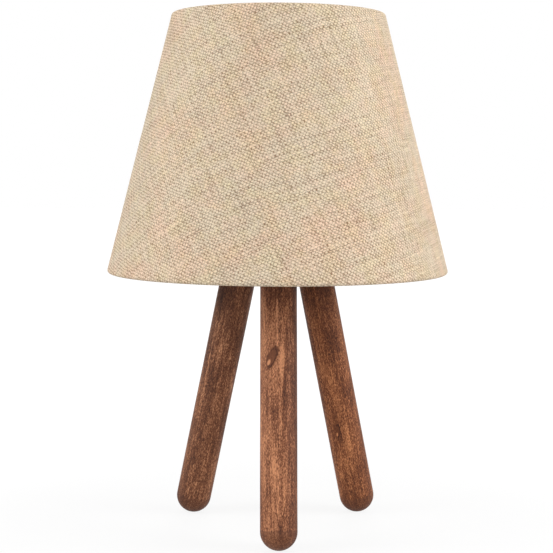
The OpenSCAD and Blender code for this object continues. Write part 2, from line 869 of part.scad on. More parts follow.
leg(leg_angles[0]);  // leg_front
leg(leg_angles[1]);  // leg_right
leg(leg_angles[2]);  // leg_left
leg_bolts();
leg_inserts();
hub();
threaded_tube();
tube_nut();
tube_washer();
cord_grip();
clamp_screw();
seat_washer();
holder_cap();
holder_skirt();
contact_carrier();
screw_shell();
centre_contact();
side_contact();
terminal_screws();
shade_ring();
fitter_ring();
spokes();
bottom_wire();
top_wire();
shade_liner();
shade_fabric();
bulb_contact();
bulb_insulator();
bulb_cap();
bulb_body();
light_board();
light_chips();
bulb_globe();
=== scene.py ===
import json
import math
import bpy
from mathutils import Matrix, Vector, noise


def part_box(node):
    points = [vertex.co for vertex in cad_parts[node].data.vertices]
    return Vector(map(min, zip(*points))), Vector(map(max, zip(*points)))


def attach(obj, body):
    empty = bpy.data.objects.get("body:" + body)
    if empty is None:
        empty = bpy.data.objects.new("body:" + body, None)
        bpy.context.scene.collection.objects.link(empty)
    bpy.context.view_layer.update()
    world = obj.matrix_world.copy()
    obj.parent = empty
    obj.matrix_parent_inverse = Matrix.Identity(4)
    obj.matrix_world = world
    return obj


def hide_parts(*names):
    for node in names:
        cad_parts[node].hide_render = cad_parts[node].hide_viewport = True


# Tripod table lamp: timber legs, linen shade. Metres, +Z up, the front leg towards -Y.
print("lamp: loading the frame")
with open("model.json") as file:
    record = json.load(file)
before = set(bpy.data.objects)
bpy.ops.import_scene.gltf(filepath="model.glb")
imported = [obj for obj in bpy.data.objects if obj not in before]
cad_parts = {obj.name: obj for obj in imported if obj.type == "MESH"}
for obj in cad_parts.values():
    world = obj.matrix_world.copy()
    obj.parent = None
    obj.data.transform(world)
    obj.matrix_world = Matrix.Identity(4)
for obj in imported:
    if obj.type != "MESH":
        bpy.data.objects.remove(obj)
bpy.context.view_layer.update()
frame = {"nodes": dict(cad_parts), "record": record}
scene = bpy.context.scene
mm = 0.001


def tone(red, green, blue):
    # a colour as it looks on screen, 0 to 255, in the shader's linear terms
    linear = [((c / 255 + 0.055) / 1.055) ** 2.4 if c > 10 else c / 255 / 12.92 for c in (red, green, blue)]
    return (*linear, 1.0)


def newFinish(name):
    finish = bpy.data.materials.new(name)
    finish.use_nodes = True
    tree = finish.node_tree
    tree.nodes.clear()
    shader = tree.nodes.new("ShaderNodeBsdfPrincipled")
    output = tree.nodes.new("ShaderNodeOutputMaterial")
    tree.links.new(shader.outputs[0], output.inputs[0])
    return finish, tree, shader


# from here to relief, each call adds one shader node
def feed(tree, socket, value):
    if isinstance(value, bpy.types.NodeSocket):
        tree.links.new(value, socket)
    else:
        socket.default_value = value


def calc(tree, operation, *values):
    node = tree.nodes.new("ShaderNodeMath")
    node.operation = operation
    for socket, value in zip(node.inputs, values):
        feed(tree, socket, value)
    return node.outputs[0]


def plus(tree, first, second):
    return calc(tree, "ADD", first, second)


def minus(tree, first, second):
    return calc(tree, "SUBTRACT", first, second)


def times(tree, first, second):
    return calc(tree, "MULTIPLY", first, second)


def timesPlus(tree, first, second, third):
    return calc(tree, "MULTIPLY_ADD", first, second, third)


def addSwing(tree, value, part, weight):
    # a part that swings round 0.5 makes the value more or less by its weight
    return timesPlus(tree, minus(tree, part, 0.5), weight, value)


def vectorCalc(tree, operation, *values):
    node = tree.nodes.new("ShaderNodeVectorMath")
    node.operation = operation
    for socket, value in zip(node.inputs, values):
        feed(tree, socket, value)
    return node.outputs["Value" if operation in ("DOT_PRODUCT", "LENGTH") else "Vector"]


def fit(tree, value, low, high, toLow=0.0, toHigh=1.0):
    # from one range to another with soft ends, and level beyond them
    node = tree.nodes.new("ShaderNodeMapRange")
    node.interpolation_type = "SMOOTHSTEP"
    amounts = {"Value": value, "From Min": low, "From Max": high, "To Min": toLow, "To Max": toHigh}
    for name, amount in amounts.items():
        feed(tree, node.inputs[name], amount)
    return node.outputs["Result"]


def mixColour(tree, factor, first, second, blend="MIX"):
    node = tree.nodes.new("ShaderNodeMix")
    node.data_type = "RGBA"
    node.blend_type = blend
    feed(tree, node.inputs["Factor"], factor)
    feed(tree, node.inputs[6], first)
    feed(tree, node.inputs[7], second)
    return node.outputs[2]


def ramp(tree, factor, *stops):
    node = tree.nodes.new("ShaderNodeValToRGB")
    elements = node.color_ramp.elements
    while len(elements) < len(stops):
        elements.new(0.5)
    for element, (position, colour) in zip(elements, stops):
        element.position = position
        element.color = colour
    feed(tree, node.inputs["Fac"], factor)
    return node.outputs["Color"]


def stretch(tree, vector, scale, offset=(0, 0, 0)):
    node = tree.nodes.new("ShaderNodeMapping")
    node.inputs["Scale"].default_value = scale
    node.inputs["Location"].default_value = offset
    feed(tree, node.inputs["Vector"], vector)
    return node.outputs["Vector"]


def cloud(tree, vector, scale, detail=3.0, rough=0.55, bend=0.0, flat=False, colour=False):
    node = tree.nodes.new("ShaderNodeTexNoise")
    node.noise_dimensions = "2D" if flat else "3D"
    feed(tree, node.inputs["Vector"], vector)
    feed(tree, node.inputs["Scale"], scale)
    node.inputs["Detail"].default_value = detail
    node.inputs["Roughness"].default_value = rough
    node.inputs["Distortion"].default_value = bend
    return node.outputs["Color" if colour else "Fac"]


def dice(tree, value):
    # the same random number from 0 to 1 for the same whole number
    node = tree.nodes.new("ShaderNodeTexWhiteNoise")
    node.noise_dimensions = "1D"
    feed(tree, node.inputs["W"], value)
    return node.outputs["Value"]


def combine(tree, x, y, z=0.0):
    node = tree.nodes.new("ShaderNodeCombineXYZ")
    for socket, value in zip(node.inputs, (x, y, z)):
        feed(tree, socket, value)
    return node.outputs[0]


def split(tree, vector):
    node = tree.nodes.new("ShaderNodeSeparateXYZ")
    feed(tree, node.inputs[0], vector)
    return node.outputs[:3]


def place(tree):
    # a point's place in its own object, in metres
    return tree.nodes.new("ShaderNodeTexCoord").outputs["Object"]


def relief(tree, shader, height, depth, strength):
    node = tree.nodes.new("ShaderNodeBump")
    node.inputs["Distance"].default_value = depth
    node.inputs["Strength"].default_value = strength
    feed(tree, node.inputs["Height"], height)
    tree.links.new(node.outputs[0], shader.inputs["Normal"])


def newPiece(name, points, faces, finish, smoothAngle=40):
    mesh = bpy.data.meshes.new(name)
    mesh.from_pydata([tuple(p) for p in points], [], faces)
    mesh.polygons.foreach_set("use_smooth", [True] * len(mesh.polygons))
    mesh.set_sharp_from_angle(angle=math.radians(smoothAngle))
    mesh.materials.append(finish)
    piece = bpy.data.objects.new(name, mesh)
    scene.collection.objects.link(piece)
    return piece


def arc(centre, radius, start, end, steps):
    angles = [math.radians(start + (end - start) * i / steps) for i in range(steps + 1)]
    return [(centre[0] + radius * math.cos(a), centre[1] + radius * math.sin(a)) for a in angles]


def climb(radius, low, high, rows):
    return [(radius, low + (high - low) * i / rows) for i in range(rows + 1)]


def revolve(name, outline, finish, columns, loop=False, thread=None, smoothAngle=40):
    # outline is [radius, height] points; thread(radius, height, turn) can change the radius round the turn
    points, rings = [], []
    for radius, height in outline:
        if radius < 1e-7:
            rings.append([len(points)] * columns)
            points.append((0, 0, height))
            continue
        rings.append(list(range(len(points), len(points) + columns)))
        for c in range(columns):
            r = thread(radius, height, c / columns) if thread else radius
            angle = 2 * math.pi * c / columns
            points.append((r * math.cos(angle), r * math.sin(angle), height))
    pairs = list(zip(rings, rings[1:]))
    if loop:
        pairs.append((rings[-1], rings[0]))
    faces = []
    for low, high in pairs:
        for c in range(columns):
            d = (c + 1) % columns
            face = list(dict.fromkeys((low[c], low[d], high[d], high[c])))
            if len(face) > 2:
                faces.append(face)
    return newPiece(name, points, faces, finish, smoothAngle)


print("lamp: camera and light")
view = dict(  # where the camera stands, and its turn, dip and roll
    place=(-21.5 * mm, -896.9 * mm, 236.4 * mm), turn=math.radians(-1.373), dip=math.radians(4.447),
    roll=math.radians(0.267), lens=90.40, shift=(-0.0018, -0.0116), farthest=50,
)


def makeCamera():
    turn, dip, roll = view["turn"], view["dip"], view["roll"]
    right = Vector((math.cos(turn), math.sin(turn), 0))
    ahead = Vector((-math.sin(turn) * math.cos(dip), math.cos(turn) * math.cos(dip), -math.sin(dip)))
    up = right.cross(ahead)
    rolledRight = right * math.cos(roll) + up * math.sin(roll)
    rolledUp = up * math.cos(roll) - right * math.sin(roll)
    camera = bpy.data.objects.new("camera", bpy.data.cameras.new("camera"))
    camera.matrix_world = Matrix((rolledRight, rolledUp, -ahead)).transposed().to_4x4()
    camera.location = view["place"]
    camera.data.lens = view["lens"]
    camera.data.shift_x, camera.data.shift_y = view["shift"]
    camera.data.clip_end = view["farthest"]
    scene.collection.objects.link(camera)
    scene.camera = camera


studio = dict(
    ambient=0.43, backdrop=1.0,  # the world's strength on the lamp, and as the camera sees it
    floorSize=12.0, floorTone=0.55, floorRough=0.9, floorStrength=1.08,
    floorGlow=(0.80, 1.0), glowReach=(0.12, 0.45),  # how white the floor looks at the feet and further out
    # place, size and power of each soft light
    lamps=dict(
        right=((2.1, -0.45, 1.25), 1.2, 34.0), left=((-2.1, -0.45, 1.25), 1.2, 26.0),
        front=((-0.2, -2.3, 1.0), 1.3, 15.5), top=((0.0, -0.2, 2.2), 1.3, 3.0), back=((0.3, 2.0, 1.2), 1.3, 14.0),
    ),
    aim=Vector((0, 0, 0.17)),
)


def seenDirectly(tree):
    # 1 for what the camera, a reflection or glass sees, 0 for light that falls on the lamp
    path = tree.nodes.new("ShaderNodeLightPath")
    seen = calc(tree, "MAXIMUM", path.outputs["Is Camera Ray"], path.outputs["Is Glossy Ray"])
    return calc(tree, "MAXIMUM", seen, path.outputs["Is Transmission Ray"])


def makeStudio():
    world = bpy.data.worlds.new("studio")
    world.use_nodes = True
    tree = world.node_tree
    background = tree.nodes["Background"]
    background.inputs["Color"].default_value = (1, 1, 1, 1)
    strength = fit(tree, seenDirectly(tree), 0, 1, studio["ambient"], studio["backdrop"])
    tree.links.new(strength, background.inputs["Strength"])
    scene.world = world

    finish, tree, shader = newFinish("paleFloor")
    shader.inputs["Roughness"].default_value = studio["floorRough"]
    shader.inputs["Base Color"].default_value = (*(studio["floorTone"],) * 3, 1)
    glow = tree.nodes.new("ShaderNodeEmission")
    glow.inputs["Strength"].default_value = studio["floorStrength"]
    mixer = tree.nodes.new("ShaderNodeMixShader")
    # the floor is plain white to the eye, but keeps the shadow near the feet
    away = vectorCalc(tree, "LENGTH", place(tree))
    share = fit(tree, away, *studio["glowReach"], *studio["floorGlow"])
    tree.links.new(times(tree, seenDirectly(tree), share), mixer.inputs[0])
    tree.links.new(shader.outputs[0], mixer.inputs[1])
    tree.links.new(glow.outputs[0], mixer.inputs[2])
    tree.links.new(mixer.outputs[0], tree.nodes["Material Output"].inputs[0])
    half = studio["floorSize"] / 2
    corners = [(-half, -half, 0), (half, -half, 0), (half, half, 0), (-half, half, 0)]
    newPiece("floor", corners, [(0, 1, 2, 3)], finish)

    for name, (spot, size, power) in studio["lamps"].items():
        lamp = bpy.data.objects.new(name, bpy.data.lights.new(name, "AREA"))
        lamp.data.size = size
        lamp.data.energy = power
        lamp.location = spot
        lamp.rotation_euler = (studio["aim"] - Vector(spot)).to_track_quat("-Z", "Y").to_euler()
        scene.collection.objects.link(lamp)


makeCamera()
makeStudio()
scene.view_settings.view_transform = "Standard"


print("lamp: linen shade")
linen = dict(
    warpAngle=22.0, warpPitch=1.345 * mm, weftAngle=113.5, weftPitch=1.20 * mm,
    # the gap and hair-line tones are painted shade, the dark between the threads
    cream=tone(236, 219, 193), tan=tone(128, 97, 67), gapShade=tone(99, 67, 39), shadeLine=tone(84, 55, 31),
    # how far threads stray from their straight lines, over a long and a short way: reach, scale and detail
    wander=(0.9 * mm, 70, 2), tremble=(1.0 * mm, 320, 0),
    # how fast a thread's thickness, its tone and the gap beside it change along it
    swellPace=0.085, tonePace=0.035, gapPace=0.05,
    threadSpread=400,  # how unlike each other the threads are
    # where each kind of change starts, so that no two look alike
    starts=dict(warpSwell=0.0, weftSwell=77.0, warpTone=31.0, weftTone=53.0, gapShade=150.0, weftFibre=90.0),
    slub=(0.25, 0.75), swell=(0.75, 1.25),  # the range of slubs, and the thickness that they give a thread
    warpOver=(-0.70, 0.05), warpLight=0.54,  # where the warp shows, and how much lighter it is than the weft
    twill=0.12,  # how much the light favours one diagonal of the weave
    fibreCount=3.2, fibreRun=0.45, fuzzScale=1900,
    pairCount=0.35, pairRun=0.05, warpPairs=0.55, weftPairs=0.65,  # patches where every other thread is lighter
    # how strongly each part makes the cloth lighter or darker
    weights=dict(warpTone=0.50, weftTone=0.36, knit=0.20, fuzz=1.7, fibre=0.9),
    lightness=(-0.70, 0.90),  # the levels that show as plain tan and plain cream
    # how painted shade darkens the holes between crossing threads and the partings beside them
    hole=(0.2, 0.8, 0.0, 0.6), parting=(0.46, 0.72), hairWidth=0.6, warpHair=0.55, weftHair=0.60,
    # faint tints of the yarn: factors of its colour, scale and place
    tints=dict(
        pink=((1.030, 0.985, 0.990), 80, (3, 1, 0)), straw=((1.005, 1.005, 0.930), 85, (7, 5, 0)),
        sage=((0.980, 1.004, 1.012), 55, (1, 9, 0)), rose=((1.045, 0.970, 0.955), 15, (4, 2, 0)),
    ),
    tintRange=(0.42, 0.66), rough=0.92, gloss=0.25, sheen=0.08, sheenRough=0.5,
    depth=0.09 * mm, relief=0.25, nap=0.18, napScale=4200,  # nap: the finest fibres, seen only in the relief
)


def linenFinish():
    finish, tree, shader = newFinish("linenWeave")
    lay = tree.nodes.new("ShaderNodeUVMap")
    lay.uv_map = "threads"  # the sheet laid flat, in metres
    sheet = lay.outputs[0]

    def astray(flat, reach, scale, detail):
        push = cloud(tree, sheet, scale, detail, flat=True, colour=True)
        push = vectorCalc(tree, "SUBTRACT", push, (0.5, 0.5, 0.5))
        return vectorCalc(tree, "MULTIPLY_ADD", push, (reach,) * 3, flat)

    flat = astray(astray(sheet, *linen["wander"]), *linen["tremble"])

    def acrossThreads(angle, pitch):
        a = math.radians(angle)
        return vectorCalc(tree, "DOT_PRODUCT", flat, (-math.sin(a) / pitch, math.cos(a) / pitch, 0))

    def roundedBack(position):
        # 1 along the middle of each thread, 0 between two threads
        return calc(tree, "SINE", times(tree, calc(tree, "FRACT", position), math.pi))

    warp = acrossThreads(linen["warpAngle"], linen["warpPitch"])
    weft = acrossThreads(linen["weftAngle"], linen["weftPitch"])
    warpCount, weftCount = calc(tree, "FLOOR", warp), calc(tree, "FLOOR", weft)
    warpRidge, weftRidge = roundedBack(warp), roundedBack(weft)
    odd = calc(tree, "FRACT", times(tree, plus(tree, warpCount, weftCount), 0.5))
    side = timesPlus(tree, odd, -4.0, 1.0)  # 1 where the warp lies on top, -1 where the weft does

    # slubs: each thread swells and changes tone along its own length
    def slub(count, along, start, pace):
        own = timesPlus(tree, dice(tree, count), linen["threadSpread"], linen["starts"][start])
        return cloud(tree, combine(tree, own, times(tree, along, linen[pace])), 1.0, 2, flat=True)

    def threadHeight(ridge, otherRidge, bend, thickness):
        lift = timesPlus(tree, times(tree, side, otherRidge), bend, 0.5)
        swell = fit(tree, thickness, *linen["slub"], *linen["swell"])
        return times(tree, ridge, times(tree, lift, swell))

    warpHeight = threadHeight(warpRidge, weftRidge, 0.5, slub(warpCount, weft, "warpSwell", "swellPace"))
    weftHeight = threadHeight(weftRidge, warpRidge, -0.5, slub(weftCount, warp, "weftSwell", "swellPace"))
    height = calc(tree, "MAXIMUM", warpHeight, weftHeight)

    # the warp catches the light, and where the weft lies on top it sits in the warp's shade
    diagonal = calc(tree, "COSINE", times(tree, minus(tree, warp, weft), math.pi))
    warpOnTop = fit(tree, minus(tree, warpHeight, weftHeight), *linen["warpOver"])
    level = times(tree, warpOnTop, linen["warpLight"])
    level = timesPlus(tree, diagonal, linen["twill"], level)
    knit = tree.nodes.new("ShaderNodeTexWhiteNoise")  # every crossing has its own tone
    knit.noise_dimensions = "2D"
    tree.links.new(combine(tree, warpCount, weftCount), knit.inputs["Vector"])

    # fine fibres lie along whichever thread is on top
    def fibresOf(across, along, start=0.0):
        across = times(tree, across, linen["fibreCount"])
        along = timesPlus(tree, along, linen["fibreRun"], start)
        return cloud(tree, combine(tree, across, along), 1.0, 1, flat=True)

    warpFibre, weftFibre = fibresOf(warp, weft), fibresOf(weft, warp, linen["starts"]["weftFibre"])
    fibre = timesPlus(tree, minus(tree, warpFibre, weftFibre), warpOnTop, weftFibre)

    # in places every other thread is lighter
    for count, other, weight in ((warpCount, weft, linen["warpPairs"]), (weftCount, warp, linen["weftPairs"])):
        across = times(tree, count, linen["pairCount"])
        along = times(tree, other, linen["pairRun"])
        patch = cloud(tree, combine(tree, across, along), 1.0, 2, flat=True)
        pair = times(tree, calc(tree, "COSINE", times(tree, count, math.pi)), weight)
        level = addSwing(tree, level, patch, pair)
    parts = dict(
        warpTone=slub(warpCount, weft, "warpTone", "tonePace"),
        weftTone=slub(weftCount, warp, "weftTone", "tonePace"),
        knit=knit.outputs["Value"], fuzz=cloud(tree, sheet, linen["fuzzScale"], 1, flat=True), fibre=fibre,
    )
    for name, weight in linen["weights"].items():
        level = addSwing(tree, level, parts[name], weight)
    thread = mixColour(tree, fit(tree, level, *linen["lightness"]), linen["tan"], linen["cream"])
    # painted shade in the holes where the threads cross
    hole = times(tree, minus(tree, 1.0, warpRidge), minus(tree, 1.0, weftRidge))
    thread = mixColour(tree, fit(tree, hole, *linen["hole"]), thread, linen["gapShade"])

    # neighbouring threads part by more or less, and painted shade lies along each parting as a dark hair line
    hairs = ((warp, warpRidge, weft, linen["warpHair"]), (weft, weftRidge, warp, linen["weftHair"]))
    for position, ridge, other, depth in hairs:
        parting = slub(calc(tree, "FLOOR", plus(tree, position, 0.5)), other, "gapShade", "gapPace")
        line = fit(tree, ridge, 0.0, linen["hairWidth"], depth, 0.0)
        shadeLine = times(tree, fit(tree, parting, *linen["parting"]), line)
        thread = mixColour(tree, shadeLine, thread, linen["shadeLine"])

    for tint, scale, offset in linen["tints"].values():
        patch = cloud(tree, stretch(tree, sheet, (1, 1, 1), offset), scale, 4, 0.65, flat=True)
        tinted = mixColour(tree, 1.0, thread, (*tint, 1.0), "MULTIPLY")
        thread = mixColour(tree, fit(tree, patch, *linen["tintRange"]), thread, tinted)
    tree.links.new(thread, shader.inputs["Base Color"])
    shader.inputs["Roughness"].default_value = linen["rough"]
    shader.inputs["Specular IOR Level"].default_value = linen["gloss"]
    shader.inputs["Sheen Weight"].default_value = linen["sheen"]
    shader.inputs["Sheen Roughness"].default_value = linen["sheenRough"]
    nap = cloud(tree, flat, linen["napScale"], 2, flat=True)
    relief(tree, shader, timesPlus(tree, nap, linen["nap"], height), linen["depth"], linen["relief"])
    return finish


shade = dict(
    bottomDia=220 * mm, topDia=136 * mm, height=165 * mm, fabric=0.5 * mm, wire=2.5 * mm, ease=0.05 * mm,
    tuck=8, rollCloth=250,  # degrees left open where a roll ends, and its cloth as degrees of the outer face
    rows=64, rollSteps=14, columns=288, smoothAngle=50,
    ripple=0.10 * mm, rippleScale=45,  # how uneven the cloth lies
    seamWidth=10 * mm, seamLift=0.5 * mm, seamStart=0.15, seamSteps=(-0.5, -0.3, 0.0, 0.3, 0.5),
)
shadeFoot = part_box("shade_fabric")[0].z
shadeLean = math.atan((shade["bottomDia"] - shade["topDia"]) / 2 / shade["height"])
rollRadius = shade["wire"] / 2 + shade["ease"] + shade["fabric"]
wallLow = rollRadius * (1 + math.sin(shadeLean)) / math.cos(shadeLean)
wallHigh = (shade["height"] - rollRadius * (1 - math.sin(shadeLean))) / math.cos(shadeLean)


def wallPoint(along, inward):
    # a point of the shade's section: along the slope from the lower edge, and inwards from the outer face
    lean = shadeLean
    radius = shade["bottomDia"] / 2 - along * math.sin(lean) - inward * math.cos(lean)
    return radius, shadeFoot + along * math.cos(lean) - inward * math.sin(lean)


def wallPath(lift):
    # [along, inward, cloth length from the lower edge] from the upper roll's end, down and round the lower one
    lastAngle = 180 + math.degrees(math.asin((rollRadius - shade["fabric"]) / rollRadius)) - shade["tuck"]
    roll = arc((0, rollRadius), rollRadius + lift, lastAngle, -90, shade["rollSteps"])
    turned = [math.radians(lastAngle + (-90 - lastAngle) * i / shade["rollSteps"] + 90) for i in range(len(roll))]
    top = [(wallHigh + x, y, wallHigh + t * rollRadius) for (x, y), t in zip(roll, turned)]
    bottom = [(wallLow - x, y, wallLow - t * rollRadius) for (x, y), t in zip(roll, turned)][::-1]
    rows = shade["rows"]
    wall = [wallHigh + (wallLow - wallHigh) * i / rows for i in range(1, rows)]
    return top + [(a, -lift, a) for a in wall] + bottom


def flatSpot(clothLength, angle):
    # where a point lies on the sheet unrolled; the angle is measured from the front
    reach = shade["bottomDia"] / 2 / math.sin(shadeLean) - clothLength
    fan = angle * math.sin(shadeLean)
    return reach * math.sin(fan), -reach * math.cos(fan)


def addThreads(piece, spots):
    # spots holds each corner's place on the unrolled sheet
    layer = piece.data.uv_layers.new(name="threads")
    layer.data.foreach_set("uv", [c for spot in spots for c in spot])


def makeShade(finish):
    outer, inner = wallPath(0.0), wallPath(-shade["fabric"])
    section = outer + inner[::-1]
    columns, count = shade["columns"], len(section)
    points = []
    for c in range(columns):
        angle = -math.pi + 2 * math.pi * c / columns  # from the seam at the back, round by the front
        for along, inward, _ in section:
            radius, height = wallPoint(along, inward)
            spot = Vector((radius * math.sin(angle), -radius * math.cos(angle), height))
            radius += shade["ripple"] * noise.noise(spot * shade["rippleScale"])
            points.append((radius * math.sin(angle), -radius * math.cos(angle), height))
    faces, spots = [], []
    for c in range(columns):
        left, right = c * count, ((c + 1) % columns) * count
        angles = [-math.pi + 2 * math.pi * k / columns for k in (c, c + 1)]
        for k in range(count):
            m = (k + 1) % count
            faces.append((left + k, left + m, right + m, right + k))
            spots += [flatSpot(section[k][2], angles[0]), flatSpot(section[m][2], angles[0]),
                      flatSpot(section[m][2], angles[1]), flatSpot(section[k][2], angles[1])]
    piece = newPiece("linenShade", points, faces, finish, shade["smoothAngle"])
    addThreads(piece, spots)
    return piece


def makeSeam(finish):
    # the sheet's end laps over its start at the back: flush on one side, a cut edge on the other
    across, start = shade["seamSteps"], shade["seamStart"]
    base = wallPath(0.0)
    points, faces, spots = [], [], []
    for share in across:
        lift = shade["seamLift"] * (start + (1 - start) * min(1.0, (share + 0.5) / 0.5))
        for side in (lift, -shade["ease"]):
            for along, inward, _ in wallPath(side):
                radius, height = wallPoint(along, inward)
                angle = math.pi + share * shade["seamWidth"] / radius
                points.append((radius * math.sin(angle), -radius * math.cos(angle), height))
    rows = len(base)

    def index(column, side, row):
        return (column * 2 + side) * rows + row

    def addFace(*corners):
        faces.append([index(*c) for c in corners])
        for column, _, row in corners:
            along, inward, length = base[row]
            radius = wallPoint(along, inward)[0]
            spots.append(flatSpot(length, -math.pi + across[column] * shade["seamWidth"] / radius))

    last = len(across) - 1
    for row in range(rows - 1):
        for column in range(last):
            addFace((column, 0, row), (column, 0, row + 1), (column + 1, 0, row + 1), (column + 1, 0, row))
            addFace((column, 1, row), (column + 1, 1, row), (column + 1, 1, row + 1), (column, 1, row + 1))
        addFace((0, 0, row), (0, 1, row), (0, 1, row + 1), (0, 0, row + 1))
        addFace((last, 0, row), (last, 0, row + 1), (last, 1, row + 1), (last, 1, row))
    for column in range(last):
        addFace((column, 0, 0), (column + 1, 0, 0), (column + 1, 1, 0), (column, 1, 0))
        addFace((column, 0, rows - 1), (column, 1, rows - 1), (column + 1, 1, rows - 1), (column + 1, 0, rows - 1))
    piece = newPiece("shadeSeam", points, faces, finish, shade["smoothAngle"])
    addThreads(piece, spots)
    return piece


linenWeave = linenFinish()
linenShade = makeShade(linenWeave)
shadeSeam = makeSeam(linenWeave)
for piece in (linenShade, shadeSeam):
    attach(piece, "shade")
    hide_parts("shade_fabric")


print("lamp: legs")
timber = dict(
    # the stain's tones from dark to light, and where on that way each one lies
    tones=((0.0, tone(60, 33, 22)), (0.27, tone(84, 47, 29)), (0.58, tone(126, 76, 50)), (1.0, tone(204, 142, 102))),
    # each layer of the grain: its run along the timber, scale, detail, roughness, bend and weight
    layers=dict(
        drift=(0.30, 100, 3, 0.55, 0.0, 0.90), streak=(0.055, 480, 3, 0.75, 0.3, 0.95),
        fibre=(0.16, 1500, 2, 0.6, 0.0, 0.65), fleck=(0.30, 2500, 1, 0.6, 0.0, 1.6),
    ),
    level=0.48, depth=0.10 * mm, fleckDepth=0.6,  # how light it is on the whole, and the grain's relief
    foot=tone(92, 54, 36), endGrain=tone(70, 39, 26), endShare=0.5, endEdge=(0.4 * mm, 1.4 * mm),
    poreScale=1500, poreRange=(0.35, 0.65), gloss=0.28,
    legRough=(0.1, 0.9, 0.68, 0.54), legRelief=0.6, hubRough=0.55, hubRelief=0.5,
)
leg = dict(
    dia=23 * mm, length=175 * mm, tilt=math.radians(13), flat=0.25 * mm, chamfer=1.0 * mm,
    boltHole=4.1 * mm, boltDepth=26 * mm, columns=96, ballRows=24, rowStep=2 * mm,
    hand=0.06 * mm, handRound=60, handAlong=28,  # how uneven the sanding left it, and how often round it and along it
)
# the marks in the timber and the painted shadow at the legs' tops: their soft edges, how far the grain's wobble moves
# them, and how much lighter they are
marks = dict(
    wobbleRun=0.3, wobbleScale=300,
    tongueSway=1.6 * mm, tongueFade=(30, 75), tongueEdge=2.5e-6, tongueGain=0.16,
    tongueRim=1.8e-6, tongueRimGain=-0.15,
    bandSway=1.2 * mm, bandEdge=(0.45, 1.1),
    knotSway=0.5, knotRim=0.95, knotRimEdge=(0.08, 0.28), knotRimLeast=0.45, knotRimGain=-0.30,
    coreEdge=(0.75, 1.1), coreShare=0.7, coreLevel=0.36,
    eyeUp=0.55, eyeAcross=0.20, eyeLong=0.34, eyeWide=0.42, eyeEdge=(0.4, 1.2), eyeGain=0.80,
    footSway=1.5 * mm,
)
# height up the leg in mm, angle round it in degrees from its outer side; half lengths and widths in mm; each leg also
# has the angle and strength of a painted lit side, darker on the side opposite
legs = dict(
    front=dict(
        angle=-90, seed=1.0, hue=(1.02, 0.98, 0.93), paintedLitSide=-50, paintedLitGain=0.20,
        knots=[dict(up=106, turn=-23, long=7.0, wide=2.9, skew=24, bright=0.9)],
        tongues=[dict(up=3, turn=4, wide=0.82), dict(up=4, turn=-19, wide=0.42)],
        # the first band, broad and dark at the top, is painted shadow under the shade; the rest are grain
        bandsAndShadows=[dict(low=134, high=232, turn=0, wide=40.0, gain=-0.26),
               dict(low=88, high=119, turn=9, wide=2.0, gain=0.36),
               dict(low=108, high=150, turn=-6, wide=0.9, gain=0.28),
               dict(low=60, high=98, turn=20, wide=2.6, gain=-0.16)]),
    right=dict(
        angle=30, seed=5.0, hue=(1.05, 0.94, 0.76), paintedLitSide=-150, paintedLitGain=0.07,
        knots=[dict(up=50, turn=-144, long=4.6, wide=1.6, skew=12, bright=1.0),
               dict(up=146, turn=-104, long=4.5, wide=1.6, skew=-20, bright=0.2)],
        tongues=[dict(up=14, turn=-120, wide=0.5)],
        # this broad dark band at the top is painted shadow under the shade
        bandsAndShadows=[dict(low=136, high=230, turn=-60, wide=40.0, gain=-0.14)]),
    left=dict(
        angle=150, seed=9.0, hue=(1.06, 1.12, 1.12), paintedLitSide=60, paintedLitGain=-0.05,
        knots=[dict(up=27, turn=93, long=2.6, wide=1.4, skew=0, bright=0.0)],
        tongues=[dict(up=34, turn=80, wide=0.22)],
        # the first band darkens the top on one side: painted shadow under the shade; the rest are grain
        bandsAndShadows=[dict(low=122, high=210, turn=78, wide=9.0, gain=-0.16),
               dict(low=80, high=102, turn=119, wide=1.4, gain=-0.22),
               dict(low=40, high=118, turn=74, wide=1.0, gain=0.18)]),
)


def timberGrain(tree, spot, seed):
    # how light the stained timber is; its grain runs along Z, from broad drifts to fine fibres
    starts = dict(drift=(seed, 0, 0), streak=(0, seed, 0), fibre=(0, 0, seed), fleck=(seed, seed, 0))
    clouds, value = {}, 0.0
    for name, (run, scale, detail, rough, bend, weight) in timber["layers"].items():
        clouds[name] = cloud(tree, stretch(tree, spot, (1, 1, run), starts[name]), scale, detail, rough, bend)
        value = addSwing(tree, value, clouds[name], weight)
    grain = timesPlus(tree, clouds["fleck"], timber["fleckDepth"], clouds["streak"])
    return plus(tree, value, timber["level"]), grain


def arcFrom(tree, around, turn):
    # the way round the leg's surface from a line at an angle
    return minus(tree, around, math.radians(turn) * leg["dia"] / 2)


def addTongue(tree, value, around, up, wobble, tongue):
    # inside a parabola that opens up the leg the grain is lighter, with a dark line round it
    side = timesPlus(tree, wobble, marks["tongueSway"], arcFrom(tree, around, tongue["turn"]))
    rise = times(tree, minus(tree, up, tongue["up"] * mm), tongue["wide"] ** 2 * mm)
    inside = minus(tree, rise, times(tree, side, side))
    near, far = marks["tongueFade"]
    fade = fit(tree, up, (tongue["up"] + near) * mm, (tongue["up"] + far) * mm, 1.0, 0.0)
    lighter = times(tree, fit(tree, inside, 0.0, marks["tongueEdge"]), fade)
    rim = fit(tree, calc(tree, "ABSOLUTE", inside), 0.0, marks["tongueRim"], 1.0, 0.0)
    value = timesPlus(tree, lighter, marks["tongueGain"], value)
    return timesPlus(tree, times(tree, rim, fade), marks["tongueRimGain"], value)


